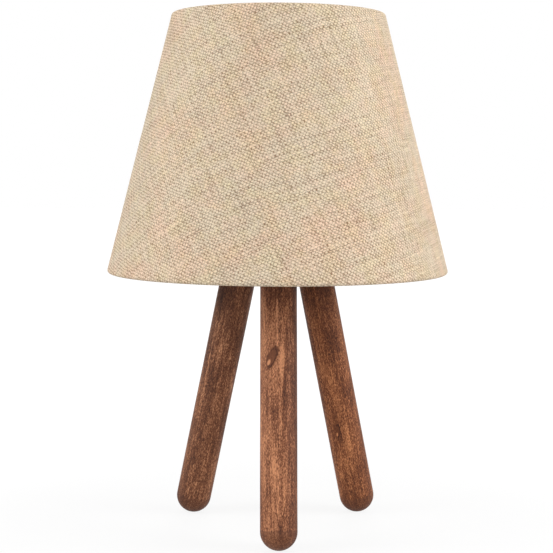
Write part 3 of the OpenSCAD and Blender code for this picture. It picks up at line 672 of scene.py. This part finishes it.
def addBandOrShadow(tree, value, around, up, wobble, band):
    # a lighter or darker stripe along the grain, pointed at both ends; a broad dark one at a leg's top is painted
    # shadow under the shade
    side = timesPlus(tree, wobble, marks["bandSway"], arcFrom(tree, around, band["turn"]))
    middle, half = (band["low"] + band["high"]) / 2 * mm, (band["high"] - band["low"]) / 2 * mm
    reach = calc(tree, "DIVIDE", minus(tree, up, middle), half)
    spread = calc(tree, "DIVIDE", side, band["wide"] * mm)
    far = plus(tree, times(tree, reach, reach), calc(tree, "ABSOLUTE", spread))
    return timesPlus(tree, fit(tree, far, *marks["bandEdge"], 1.0, 0.0), band["gain"], value)


def addKnot(tree, value, around, up, wobble, knot):
    # a dark rim, strongest on the side away from the pale eye, round a plain core
    skew = math.radians(knot["skew"])
    long, wide = knot["long"] * mm, knot["wide"] * mm
    x, y = arcFrom(tree, around, knot["turn"]), minus(tree, up, knot["up"] * mm)

    def turned(first, second):
        return plus(tree, times(tree, x, first), times(tree, y, second))

    across, along = turned(math.cos(skew), -math.sin(skew)), turned(math.sin(skew), math.cos(skew))
    squash = vectorCalc(tree, "MULTIPLY", combine(tree, across, along), (1 / wide, 1 / long, 0))
    distance = vectorCalc(tree, "LENGTH", squash)  # 1 at the knot's rim
    distance = timesPlus(tree, wobble, marks["knotSway"], distance)
    off = calc(tree, "ABSOLUTE", minus(tree, distance, marks["knotRim"]))
    strong = fit(tree, across, -wide, wide, marks["knotRimLeast"], 1.0)
    rim = times(tree, fit(tree, off, *marks["knotRimEdge"], 1.0, 0.0), strong)
    core = fit(tree, distance, *marks["coreEdge"], 1.0, 0.0)
    eyeAlong = calc(tree, "DIVIDE", plus(tree, along, marks["eyeUp"] * long), marks["eyeLong"] * long)
    eyeAcross = calc(tree, "DIVIDE", plus(tree, across, marks["eyeAcross"] * wide), marks["eyeWide"] * wide)
    eye = fit(tree, vectorCalc(tree, "LENGTH", combine(tree, eyeAlong, eyeAcross)), *marks["eyeEdge"], 1.0, 0.0)
    evened = minus(tree, marks["coreLevel"], value)
    value = timesPlus(tree, times(tree, core, marks["coreShare"]), evened, value)
    value = timesPlus(tree, rim, marks["knotRimGain"], value)
    return timesPlus(tree, eye, marks["eyeGain"] * knot["bright"], value)


def legFinish(name, style, setting):
    finish, tree, shader = newFinish(name)
    # the leg's own axes: Z up its middle line from the ball's centre, X outwards
    own = tree.nodes.new("ShaderNodeMapping")
    own.vector_type = "TEXTURE"
    own.inputs["Location"].default_value = setting.to_translation()
    own.inputs["Rotation"].default_value = setting.to_euler()
    tree.links.new(place(tree), own.inputs["Vector"])
    spot = own.outputs[0]
    x, y, up = split(tree, spot)
    turn = calc(tree, "ARCTAN2", y, x)
    around = times(tree, turn, leg["dia"] / 2)
    value, grain = timberGrain(tree, spot, style["seed"])
    wobble = cloud(tree, stretch(tree, spot, (1, 1, marks["wobbleRun"])), marks["wobbleScale"], 2)
    wobble = minus(tree, wobble, 0.5)
    # painted light and shade: the leg is lighter on one side and darker on the other
    paintedLitSide = calc(tree, "COSINE", minus(tree, turn, math.radians(style["paintedLitSide"])))
    value = timesPlus(tree, paintedLitSide, style["paintedLitGain"], value)
    for kind, addMark in (("tongues", addTongue), ("bandsAndShadows", addBandOrShadow), ("knots", addKnot)):
        for mark in style[kind]:
            value = addMark(tree, value, around, up, wobble, mark)

    colour = ramp(tree, value, *timber["tones"])
    colour = mixColour(tree, 1.0, colour, (*style["hue"], 1.0), "MULTIPLY")
    # the ball end is end grain, which takes more stain
    endGrain = fit(tree, timesPlus(tree, wobble, marks["footSway"], up), *timber["endEdge"], 1.0, 0.0)
    pores = fit(tree, cloud(tree, spot, timber["poreScale"], 2), *timber["poreRange"])
    footColour = mixColour(tree, pores, timber["endGrain"], timber["foot"])
    colour = mixColour(tree, times(tree, endGrain, timber["endShare"]), colour, footColour)
    tree.links.new(colour, shader.inputs["Base Color"])
    tree.links.new(fit(tree, value, *timber["legRough"]), shader.inputs["Roughness"])
    shader.inputs["Specular IOR Level"].default_value = timber["gloss"]
    relief(tree, shader, grain, timber["depth"], timber["legRelief"])
    return finish


def makeLeg(name, style):
    radius, shank = leg["dia"] / 2, leg["length"] - leg["dia"] / 2
    hole, bottom, end = leg["boltHole"], shank - leg["boltDepth"], shank - leg["chamfer"]
    foot = [m for m in frame["record"]["mounts"] if m["name"] == "foot_" + name][0]
    spread = math.hypot(*foot["pos_m"][:2])
    setting = Matrix.Rotation(math.radians(style["angle"]), 4, "Z")
    setting = setting @ Matrix.Translation((spread, 0, radius - leg["flat"])) @ Matrix.Rotation(-leg["tilt"], 4, "Y")
    outline = [(max(r, 0.0), z) for r, z in arc((0, 0), radius, -90, 0, leg["ballRows"])]
    outline += climb(radius, 0, end, int(end / leg["rowStep"]))[1:]
    outline += [(radius - leg["chamfer"], shank), (hole, shank), (hole, bottom), (0, bottom)]

    def sanded(r, z, turn):
        angle, often = turn * 2 * math.pi, leg["handRound"]
        spot = (math.cos(angle) * r * often, math.sin(angle) * r * often, z * leg["handAlong"] + style["seed"])
        return r + leg["hand"] * noise.noise(Vector(spot)) if r > hole else r

    finish = legFinish("timber" + name.capitalize(), style, setting)
    piece = revolve("leg" + name.capitalize(), outline, finish, leg["columns"], thread=sanded)
    for vertex in piece.data.vertices:
        spot = setting @ vertex.co
        vertex.co = (spot.x, spot.y, max(spot.z, 0))  # the flat that it stands on
    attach(piece, "lamp_base")
    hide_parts("leg_" + name)


for name, style in legs.items():
    makeLeg(name, style)


print("lamp: fittings")


def turnedTimber():
    finish, tree, shader = newFinish("turnedTimber")
    x, y, z = split(tree, place(tree))
    value, grain = timberGrain(tree, combine(tree, y, z, x), 3.0)  # the block's grain lies level
    tree.links.new(ramp(tree, value, *timber["tones"]), shader.inputs["Base Color"])
    shader.inputs["Roughness"].default_value = timber["hubRough"]
    relief(tree, shader, grain, timber["depth"], timber["hubRelief"])
    return finish


metals = dict(  # worn: the tone in the scratches; wear: its share; dull: how much rougher they are
    swing=(0.3, 0.7), worn=tone(120, 116, 110), wear=0.35, dull=0.18, depth=0.03 * mm, relief=0.5,
)
coats = dict(  # the mottle is broad and faint, the skin's grain is fine
    swing=(0.3, 0.7), mottleScale=120, mottle=(0.3, 0.75, 0, 0.5), smoother=0.06, duller=0.08, relief=0.5,
)


def metal(name, colour, rough, scratch, lines):
    # metal with fine tool lines; lines says how the scratches stretch
    finish, tree, shader = newFinish(name)
    scuffs = cloud(tree, stretch(tree, place(tree), lines), scratch, 3, 0.6)
    worn = fit(tree, scuffs, *metals["swing"], 0, metals["wear"])
    shader.inputs["Metallic"].default_value = 1.0
    tree.links.new(mixColour(tree, worn, colour, metals["worn"]), shader.inputs["Base Color"])
    tree.links.new(fit(tree, scuffs, *metals["swing"], rough, rough + metals["dull"]), shader.inputs["Roughness"])
    relief(tree, shader, scuffs, metals["depth"], metals["relief"])
    return finish


def coated(name, colour, mottleTone, rough, grain, depth):
    # paint, moulding or ceramic: a faint mottle and a fine surface grain
    finish, tree, shader = newFinish(name)
    spot = place(tree)
    mottle, skin = cloud(tree, spot, coats["mottleScale"], 3), cloud(tree, spot, grain, 2)
    sheen = fit(tree, skin, *coats["swing"], rough - coats["smoother"], rough + coats["duller"])
    tree.links.new(mixColour(tree, fit(tree, mottle, *coats["mottle"]), colour, mottleTone), shader.inputs["Base Color"])
    tree.links.new(sheen, shader.inputs["Roughness"])
    relief(tree, shader, skin, depth, coats["relief"])
    return finish


# colour, roughness, scratches to the metre and their stretch; or colour, its darker mottle tone, roughness, grain and
# its depth
finishes = dict(
    hub_timber=turnedTimber(),
    zinc_steel=metal("zincSteel", tone(206, 209, 214), 0.30, 900, (1, 1, 0.1)),
    brass_parts=metal("brass", tone(222, 190, 120), 0.26, 800, (1, 1, 0.1)),
    plated_cap=metal("platedCap", tone(214, 212, 206), 0.24, 700, (0.2, 0.2, 1)),
    black_moulding=coated("blackMoulding", tone(40, 40, 43), tone(28, 28, 31), 0.42, 2600, 0.03 * mm),
    white_ceramic=coated("whiteCeramic", tone(236, 233, 226), tone(218, 213, 203), 0.55, 1800, 0.04 * mm),
    nylon=coated("nylon", tone(232, 228, 216), tone(216, 210, 196), 0.45, 1500, 0.02 * mm),
    frame_white=coated("frameWhite", tone(238, 237, 233), tone(222, 220, 214), 0.40, 2600, 0.01 * mm),
    liner_sheet=coated("linerSheet", tone(244, 241, 233), tone(234, 229, 218), 0.50, 900, 0.04 * mm),
    black_insulator=coated("blackInsulator", tone(34, 34, 38), tone(24, 24, 27), 0.20, 900, 0.01 * mm),
    bulb_white=coated("bulbWhite", tone(240, 240, 238), tone(230, 229, 226), 0.40, 2200, 0.02 * mm),
    board=coated("board", tone(232, 233, 230), tone(214, 216, 212), 0.45, 1200, 0.01 * mm),
    chips=coated("chips", tone(236, 205, 84), tone(220, 182, 60), 0.35, 1500, 0.02 * mm),
    opal=coated("opal", tone(235, 235, 232), tone(229, 229, 225), 0.36, 1600, 0.01 * mm),
)
for row in frame["record"]["subparts"]:
    if row["material_slot"] in finishes:
        mesh = frame["nodes"][row["node"]].data
        mesh.materials.clear()
        mesh.materials.append(finishes[row["material_slot"]])


# the fittings with real threads and soft edges are all turned about the lamp's axis
edges = dict(
    size=0.3 * mm, most=0.45,  # how far back a corner is cut, and at most what share of each side
    blunt=math.radians(150),  # corners blunter than this stay as they are
    slack=0.01 * mm,  # tells a wall's radius from the next one's
    crisp=30, plain=40, soft=50, rolled=60,  # the angle in degrees up to which a piece is shaded as smooth
)


def softened(outline):
    # a closed outline with its sharp corners rounded
    points = []
    for i, corner in enumerate(outline):
        here = Vector(corner)
        back, on = Vector(outline[i - 1]) - here, Vector(outline[(i + 1) % len(outline)]) - here
        cut = min(edges["size"], back.length * edges["most"], on.length * edges["most"])
        if back.angle(on) > edges["blunt"] or here.x < 1e-6:
            points.append(tuple(here))
            continue
        start, end = here + back.normalized() * cut, here + on.normalized() * cut
        for share in (0.0, 0.33, 0.67, 1.0):
            points.append(tuple(start.lerp(here, share).lerp(here.lerp(end, share), share)))
    return points


def screwThread(depth, pitch, low, high, level, least=0.0, most=1.0):
    # a right-hand round thread on the walls between two radii, which runs out at both ends
    def reach(radius, height, turn):
        if not (least <= radius <= most and low < height < high):
            return radius
        runOut = min(1.0, (height - low) / pitch, (high - height) / pitch)
        wave = (1 + math.cos(2 * math.pi * ((height - level) / pitch - turn))) / 2
        return radius + depth * wave * runOut
    return reach


def gripGrooves(count, depth, halfWidth, low, high, least):
    # round hollows for the fingers up a wall
    def reach(radius, height, turn):
        across = abs((turn * count + 0.5) % 1 - 0.5) / count * 2 * math.pi * radius / halfWidth
        if radius < least or across >= 1 or not low < height < high:
            return radius
        return radius - depth * (1 - across ** 2) * min(1.0, (height - low) / halfWidth)
    return reach


def addFitting(name, node, body, slot, outline, columns, thread, smoothAngle):
    piece = revolve(name, outline, finishes[slot], columns, loop=True, thread=thread, smoothAngle=smoothAngle)
    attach(piece, body)
    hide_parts(node)


lampholder = dict(
    foot=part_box("holder_cap")[0].z, rim=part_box("holder_skirt")[1].z, radius=20.5 * mm, wall=2 * mm,
    # the cap: its boss round the tube, its rounded shoulder, and the ledge that the skirt's neck meets
    capHeight=24 * mm, boss=9 * mm, bossHeight=10 * mm, bossStep=1 * mm, bore=5.05 * mm,
    shoulder=14 * mm, footHeight=3 * mm, ledge=16.1 * mm, ledgeHeight=16 * mm, ledgeStep=1.3 * mm,
    grooves=24, grooveDepth=0.5 * mm, grooveHalf=0.9 * mm, grooveEnd=2 * mm,
    # the skirt: its neck, its flange under the shade and the thread up its wall
    neck=18.4 * mm, neckHeight=6 * mm, flange=21.5 * mm, flangeThick=2 * mm, root=19.2 * mm, inner=17.2 * mm,
    threadTop=24 * mm, threadDepth=0.6 * mm, pitch=3 * mm, chamfer=0.7 * mm, lip=14 * mm, lipThick=2.8 * mm,
    capColumns=384, skirtColumns=128, bowlRows=20, wallRows=16, threadRows=96,
)


def makeLampholder():
    h = lampholder
    foot, top, shoulder = h["foot"], h["foot"] + h["capHeight"], h["foot"] + h["shoulder"]
    drop, wall = h["shoulder"] - h["footHeight"], h["wall"]
    bore, boss, radius, ledge = h["bore"], h["boss"], h["radius"], h["ledge"]

    def bowl(outerRadius, drop):
        # the cap's rounded shoulder, from under the boss out to the wall
        quarter = arc((0, 0), 1, -90, 0, h["bowlRows"])
        return [(boss + x * (outerRadius - boss), shoulder + y * drop) for x, y in quarter]

    outline = [(bore, foot), (boss, foot)] + bowl(radius, drop) + climb(radius, shoulder, top, h["wallRows"])[1:]
    outline += [(radius - wall, top), (radius - wall, foot + h["ledgeHeight"]), (ledge, foot + h["ledgeHeight"])]
    outline += bowl(ledge + h["ledgeStep"], drop - wall)[::-1]
    outline += [(boss - h["bossStep"], foot + h["footHeight"] + wall), (boss - h["bossStep"], foot + h["bossHeight"]),
                (bore, foot + h["bossHeight"])]
    grooves = gripGrooves(h["grooves"], h["grooveDepth"], h["grooveHalf"],
                          shoulder, top - h["grooveEnd"], radius - edges["slack"])
    addFitting("lampholderCap", "holder_cap", "lamp_base", "black_moulding",
               softened(outline), h["capColumns"], grooves, edges["crisp"])

    seat, rim = top + h["flangeThick"], h["rim"]
    neck, flange, root, lip, inner, chamfer = (h[k] for k in ("neck", "flange", "root", "lip", "inner", "chamfer"))
    neckLow, threadEnd = top - h["neckHeight"], seat + h["threadTop"]
    outline = [(inner, neckLow), (neck, neckLow), (neck, top), (flange, top), (flange, seat)]
    outline += climb(root, seat, threadEnd, h["threadRows"])
    outline += [(root, rim - chamfer), (root - chamfer, rim), (lip + chamfer, rim), (lip, rim - chamfer),
                (lip, rim - h["lipThick"]), (inner, rim - h["lipThick"])]
    turns = screwThread(h["threadDepth"], h["pitch"], seat, threadEnd, seat,
                        root - edges["slack"], root + edges["slack"])
    addFitting("lampholderSkirt", "holder_skirt", "lamp_base", "black_moulding",
               softened(outline), h["skirtColumns"], turns, edges["soft"])


shadeRing = dict(
    low=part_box("shade_ring")[0].z, height=10 * mm, bore=20 * mm, flange=28.5 * mm, flangeThick=2.2 * mm,
    slope=0.8 * mm, collar=24 * mm, chamfer=1 * mm,
    grooves=20, grooveDepth=0.75 * mm, grooveHalf=1.3 * mm, grooveOver=1 * mm,
    threadDepth=0.5 * mm, pitch=3 * mm, columns=320, collarRows=14, threadRows=32,
)


def makeShadeRing():
    r = shadeRing
    low, top, chamfer = r["low"], r["low"] + r["height"], r["chamfer"]
    collarLow = low + r["flangeThick"] + r["slope"]
    outline = [(r["flange"], low), (r["flange"], low + r["flangeThick"])]
    outline += climb(r["collar"], collarLow, top - chamfer, r["collarRows"])
    outline += [(r["collar"] - chamfer, top)] + climb(r["bore"], low, top, r["threadRows"])[::-1]
    grooves = gripGrooves(r["grooves"], r["grooveDepth"], r["grooveHalf"],
                          collarLow + r["slope"], top + r["grooveOver"], r["collar"] - chamfer - edges["slack"])
    turns = screwThread(r["threadDepth"], r["pitch"], low, top, low, 0, r["bore"] + edges["slack"])
    addFitting("shadeRing", "shade_ring", "shade_ring", "black_moulding", softened(outline), r["columns"],
               lambda radius, height, turn: turns(grooves(radius, height, turn), height, turn), edges["crisp"])


bulb = dict(
    foot=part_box("bulb_contact")[0].z, length=104 * mm, fitGap=0.1 * mm,
    # the cap: a round thread between two heights, and the band above it
    pitch=3.63 * mm, threadDepth=1 * mm, root=12.1 * mm, crest=13.1 * mm, threadLow=5 * mm, threadHigh=20.5 * mm,
    capTop=27 * mm, band=3 * mm, sheet=0.5 * mm, capHole=8.5 * mm,
    # the body: from its waist up to the rim that holds the board and the globe
    waist=13.7 * mm, rim=25 * mm, rimHeight=2 * mm, bodyHeight=24 * mm, spigot=11.5 * mm, spigotDepth=8 * mm,
    board=22.1 * mm, boardThick=1.2 * mm, globe=30 * mm, globeThick=1.2 * mm,
    columns=128, threadRows=64, bodyRows=40, globeColumns=160, globeRows=(24, 40),
)
shell = dict(radius=13.4 * mm, depth=0.5 * mm, sheet=0.3 * mm, rows=80, columns=128)  # the lampholder's metal thread


def makeBulbCap():
    b = bulb
    foot, capTop, sheet = b["foot"], b["foot"] + b["capTop"], b["sheet"]
    start, end = foot + b["threadLow"], foot + b["threadHigh"]
    wall = climb(b["root"], start, end, b["threadRows"]) + [(b["root"], capTop - b["band"] - b["threadDepth"])]
    wall += [(b["crest"], capTop - b["band"]), (b["crest"], capTop)]
    inside = [(radius - sheet, max(height, start + sheet)) for radius, height in wall]
    outline = [(b["capHole"], start)] + wall + inside[::-1] + [(b["capHole"], start + sheet)]
    turns = screwThread(b["threadDepth"], b["pitch"], start, end, foot, 0, b["root"] + edges["slack"])
    addFitting("bulbCap", "bulb_cap", "bulb", "plated_cap", outline, b["columns"], turns, edges["rolled"])


def makeScrewShell():
    low, high = (corner.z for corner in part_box("screw_shell"))
    line = climb(shell["radius"], low, high, shell["rows"])
    outline = line + [(radius + shell["sheet"], height) for radius, height in line[::-1]]
    turns = screwThread(shell["depth"], bulb["pitch"], low, high, bulb["foot"])
    addFitting("screwShell", "screw_shell", "lamp_base", "brass_parts",
               outline, shell["columns"], turns, edges["rolled"])


def makeBulbTop():
    b = bulb
    rim, capTop, rows = b["rim"], b["foot"] + b["capTop"], b["bodyRows"]
    bodyTop, swell = capTop + b["bodyHeight"], b["bodyHeight"] - b["rimHeight"]
    boardTop, inner = bodyTop - b["rimHeight"], rim - b["globeThick"]
    outline = [(0, capTop - b["spigotDepth"]), (b["spigot"], capTop - b["spigotDepth"]), (b["spigot"], capTop)]
    for i in range(rows + 1):
        share = (1 - math.cos(math.pi * i / rows)) / 2
        outline.append((b["waist"] + (rim - b["waist"]) * share, capTop + swell * i / rows))
    outline += [(rim, bodyTop), (inner, bodyTop), (inner, boardTop), (b["board"], boardTop),
                (b["board"], boardTop - b["boardThick"]), (0, boardTop - b["boardThick"])]
    addFitting("bulbBody", "bulb_body", "bulb", "bulb_white", softened(outline), b["columns"], None, edges["plain"])

    # the globe's lower part is drawn in to meet the rim, and a thin spigot goes down inside it
    radius, thick = b["globe"], b["globeThick"]
    middle, shoulder, spigot = b["foot"] + b["length"] - radius, bodyTop + b["fitGap"], inner - b["fitGap"]
    outerAngle = -math.degrees(math.acos(rim / radius))
    innerAngle = -math.degrees(math.acos((spigot - thick) / (radius - thick)))
    squat = (middle - shoulder) / math.sin(math.radians(-outerAngle)) / radius
    lowerRows, upperRows = b["globeRows"]

    def dome(size, angle):
        lower = [(x, middle + (y - middle) * squat) for x, y in arc((0, middle), size, angle, 0, lowerRows)]
        return lower + [(x if x > 1e-6 else 0, y) for x, y in arc((0, middle), size, 0, 90, upperRows)[1:]]

    outline = [(spigot, boardTop + b["fitGap"]), (spigot, shoulder)] + dome(radius, outerAngle)
    outline += dome(radius - thick, innerAngle)[::-1] + [(spigot - thick, boardTop + b["fitGap"])]
    addFitting("bulbGlobe", "bulb_globe", "bulb", "opal", outline, b["globeColumns"], None, edges["soft"])


makeLampholder()
makeShadeRing()
makeBulbCap()
makeScrewShell()
makeBulbTop()
